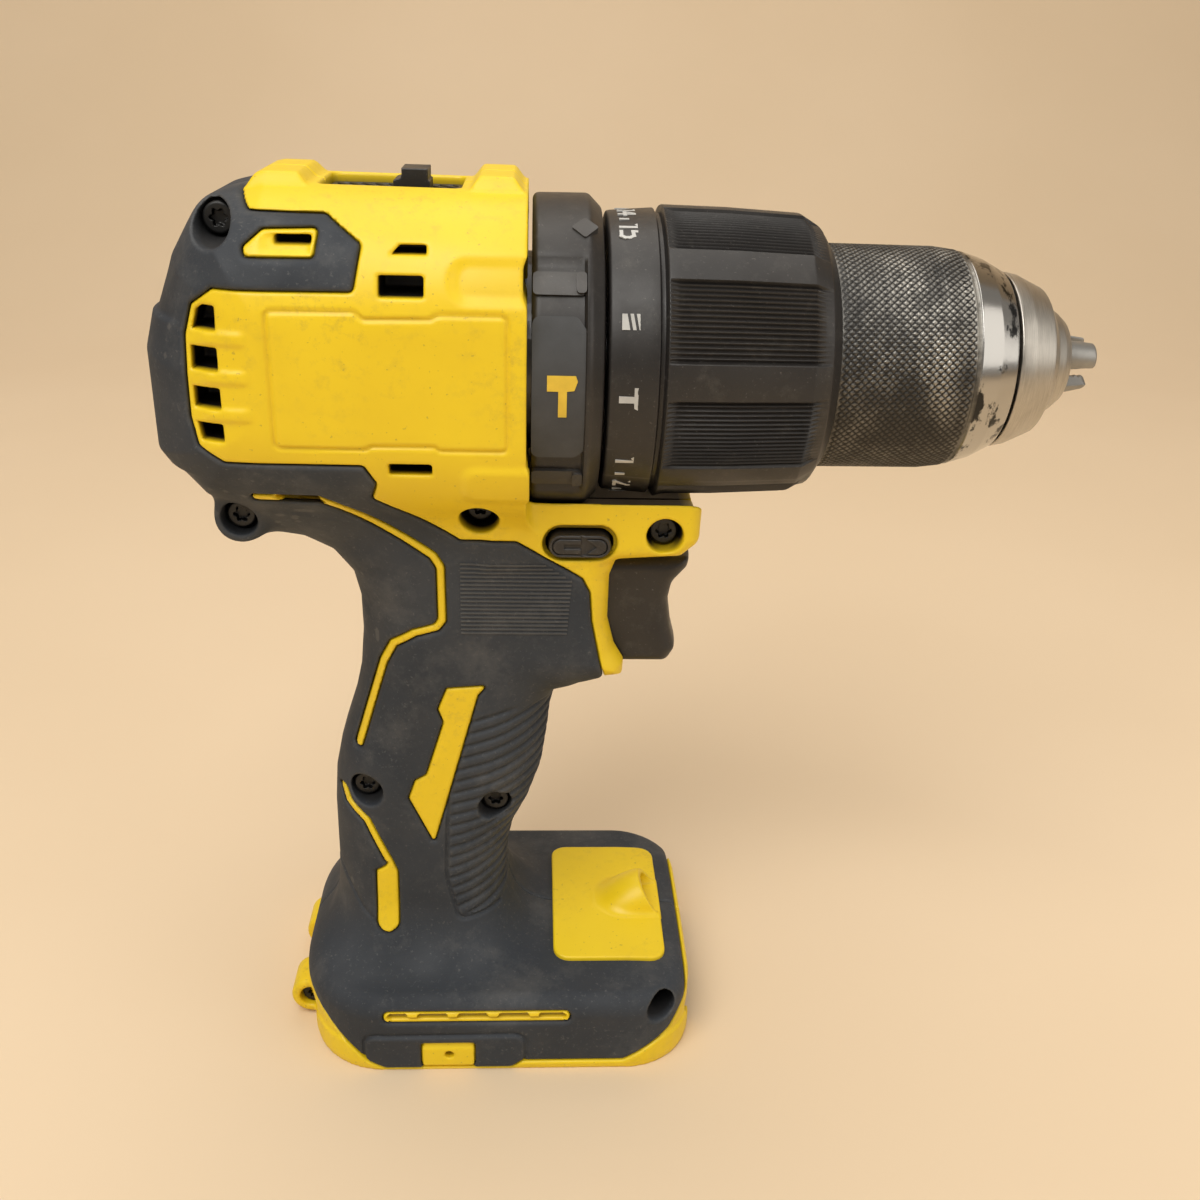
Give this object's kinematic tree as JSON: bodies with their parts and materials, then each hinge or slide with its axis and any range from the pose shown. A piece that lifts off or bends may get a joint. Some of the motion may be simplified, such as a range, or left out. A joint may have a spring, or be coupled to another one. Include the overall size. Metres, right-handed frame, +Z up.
{
  "type": "cordless drill",
  "caption": "Compact pistol-grip cordless hammer drill without its battery: clamshell body, rubber grip, clutch collar, keyless chuck, trigger and battery foot.",
  "frame": {"origin": "centre of the bounding box at the level of the surface the battery foot stands on", "axes": "+X forward along the barrel to the chuck, +Y to the tool's left, +Z up"},
  "size_m": [0.1788, 0.0668, 0.185],
  "materials": {
    "yellow_shell": "satin moulded, lightly dusty",
    "grip_rubber": "matt overmould",
    "black_plastic": "satin moulded",
    "grey_plastic": "potting compound",
    "chuck_steel": "turned and brushed",
    "chuck_sleeve": "blackened diamond knurl with a polished worn nose",
    "jaw_steel": "ground",
    "gear_steel": "sintered",
    "bearing_steel": "ground",
    "screw_steel": "blackened",
    "lamination_steel": "stacked laminations",
    "magnet": "sintered",
    "copper": "enamelled copper wire",
    "circuit_board": "solder mask",
    "terminal_brass": "tinned brass",
    "lens": "clear",
    "wire_insulation": "silicone"
  },
  "bodies": {
    "housing": {"housing_right": "yellow_shell", "housing_left": "yellow_shell", "grip_right": "grip_rubber", "grip_left": "grip_rubber", "gearcase": "black_plastic", "led_cover": "yellow_shell", "led_lens": "lens", "control_module": "grey_plastic", "terminal_block": "black_plastic", "battery_terminals": "terminal_brass", "switch_module": "black_plastic", "motor_leads": "wire_insulation", "motor_stator": "lamination_steel", "stator_windings": "copper", "sensor_board": "circuit_board", "motor_rear_bearing": "bearing_steel", "motor_front_bearing": "bearing_steel", "motor_plate": "gear_steel", "ring_gear_1": "gear_steel", "ring_gear_2": "gear_steel", "hammer_ratchet_fixed": "gear_steel", "spindle_bearing": "bearing_steel", "clutch_washer": "gear_steel", "clutch_spring": "gear_steel", "selector_frame": "black_plastic", "housing_screw_1": "screw_steel", "housing_screw_2": "screw_steel", "housing_screw_3": "screw_steel", "housing_screw_4": "screw_steel", "housing_screw_5": "screw_steel", "housing_screw_6": "screw_steel", "housing_screw_7": "screw_steel", "housing_screw_8": "screw_steel"},
    "spindle": {"carrier_2": "gear_steel", "spindle": "gear_steel", "hammer_ratchet_turning": "gear_steel", "chuck_body": "chuck_steel", "chuck_screw": "screw_steel"},
    "rotor": {"motor_shaft": "gear_steel", "rotor_core": "lamination_steel", "rotor_magnet": "magnet", "cooling_fan": "black_plastic", "motor_pinion": "gear_steel"},
    "carrier_1": {"carrier_1": "gear_steel"},
    "planet_1a": {"planet_1a": "gear_steel"},
    "planet_1b": {"planet_1b": "gear_steel"},
    "planet_1c": {"planet_1c": "gear_steel"},
    "planet_2a": {"planet_2a": "gear_steel"},
    "planet_2b": {"planet_2b": "gear_steel"},
    "planet_2c": {"planet_2c": "gear_steel"},
    "chuck_sleeve": {"chuck_sleeve": "chuck_sleeve", "chuck_nut": "gear_steel"},
    "chuck_jaw_1": {"chuck_jaw_1": "jaw_steel"},
    "chuck_jaw_2": {"chuck_jaw_2": "jaw_steel"},
    "chuck_jaw_3": {"chuck_jaw_3": "jaw_steel"},
    "clutch_collar": {"clutch_collar": "black_plastic"},
    "clutch_nut": {"clutch_nut": "grey_plastic"},
    "speed_selector": {"speed_selector": "black_plastic"},
    "trigger": {"trigger": "black_plastic"},
    "direction_button": {"direction_button": "black_plastic"}
  },
  "joints": [
    {"name": "spindle_spin", "type": "hinge", "parent": "housing", "child": "spindle", "pos_m": [0, 0, 0.1516], "axis": [1, 0, 0], "continuous": true},
    {"name": "rotor_spin", "type": "hinge", "parent": "housing", "child": "rotor", "pos_m": [0, 0, 0.1516], "axis": [1, 0, 0], "continuous": true},
    {"name": "carrier_1_spin", "type": "hinge", "parent": "housing", "child": "carrier_1", "pos_m": [0, 0, 0.1516], "axis": [1, 0, 0], "continuous": true},
    {"name": "planet_1a_spin", "type": "hinge", "parent": "carrier_1", "child": "planet_1a", "pos_m": [0, 0.01067, 0.1516], "axis": [1, 0, 0], "continuous": true},
    {"name": "planet_1b_spin", "type": "hinge", "parent": "carrier_1", "child": "planet_1b", "pos_m": [0, -0.00533, 0.16084], "axis": [1, 0, 0], "continuous": true},
    {"name": "planet_1c_spin", "type": "hinge", "parent": "carrier_1", "child": "planet_1c", "pos_m": [0, -0.00533, 0.14236], "axis": [1, 0, 0], "continuous": true},
    {"name": "planet_2a_spin", "type": "hinge", "parent": "spindle", "child": "planet_2a", "pos_m": [0, 0.01067, 0.1516], "axis": [1, 0, 0], "continuous": true},
    {"name": "planet_2b_spin", "type": "hinge", "parent": "spindle", "child": "planet_2b", "pos_m": [0, -0.00533, 0.16084], "axis": [1, 0, 0], "continuous": true},
    {"name": "planet_2c_spin", "type": "hinge", "parent": "spindle", "child": "planet_2c", "pos_m": [0, -0.00533, 0.14236], "axis": [1, 0, 0], "continuous": true},
    {"name": "chuck_sleeve_turn", "type": "hinge", "parent": "spindle", "child": "chuck_sleeve", "pos_m": [0, 0, 0.1516], "axis": [1, 0, 0], "range_deg": [-1500, 2430]},
    {"name": "chuck_jaw_1_slide", "type": "slide", "parent": "spindle", "child": "chuck_jaw_1", "axis": [-0.9744, -0.1948, 0.1125], "range_m": [-0.0101, 0.0163]},
    {"name": "chuck_jaw_2_slide", "type": "slide", "parent": "spindle", "child": "chuck_jaw_2", "axis": [-0.9744, 0.1948, 0.1125], "range_m": [-0.0101, 0.0163]},
    {"name": "chuck_jaw_3_slide", "type": "slide", "parent": "spindle", "child": "chuck_jaw_3", "axis": [-0.9744, 0, -0.225], "range_m": [-0.0101, 0.0163]},
    {"name": "clutch_turn", "type": "hinge", "parent": "housing", "child": "clutch_collar", "pos_m": [0, 0, 0.1516], "axis": [1, 0, 0], "range_deg": [-84, 242]},
    {"name": "clutch_nut_slide", "type": "slide", "parent": "housing", "child": "clutch_nut", "axis": [1, 0, 0], "range_m": [-0.0016, 0.0046], "deforming": ["clutch_spring"]},
    {"name": "speed_selector_slide", "type": "slide", "parent": "housing", "child": "speed_selector", "axis": [1, 0, 0], "range_m": [-0.008, 0]},
    {"name": "trigger_pull", "type": "slide", "parent": "housing", "child": "trigger", "axis": [-1, 0, 0], "range_m": [0, 0.007], "stiffness_N_per_m": 900, "springref_m": -0.003},
    {"name": "direction_button_slide", "type": "slide", "parent": "housing", "child": "direction_button", "axis": [0, 1, 0], "range_m": [-0.003, 0.003]}
  ],
  "couplings": [
    {"joint": "rotor_spin", "follows": "spindle_spin", "ratio": 16},
    {"joint": "carrier_1_spin", "follows": "spindle_spin", "ratio": 4},
    {"joint": "planet_1a_spin", "follows": "spindle_spin", "ratio": -12},
    {"joint": "planet_1b_spin", "follows": "spindle_spin", "ratio": -12},
    {"joint": "planet_1c_spin", "follows": "spindle_spin", "ratio": -12},
    {"joint": "planet_2a_spin", "follows": "spindle_spin", "ratio": -3},
    {"joint": "planet_2b_spin", "follows": "spindle_spin", "ratio": -3},
    {"joint": "planet_2c_spin", "follows": "spindle_spin", "ratio": -3},
    {"joint": "chuck_jaw_1_slide", "follows": "chuck_sleeve_turn", "m_per_rad": 0.00038197},
    {"joint": "chuck_jaw_2_slide", "follows": "chuck_sleeve_turn", "m_per_rad": 0.00038197},
    {"joint": "chuck_jaw_3_slide", "follows": "chuck_sleeve_turn", "m_per_rad": 0.00038197},
    {"joint": "clutch_nut_slide", "follows": "clutch_turn", "m_per_rad": 0.0010545}
  ]
}
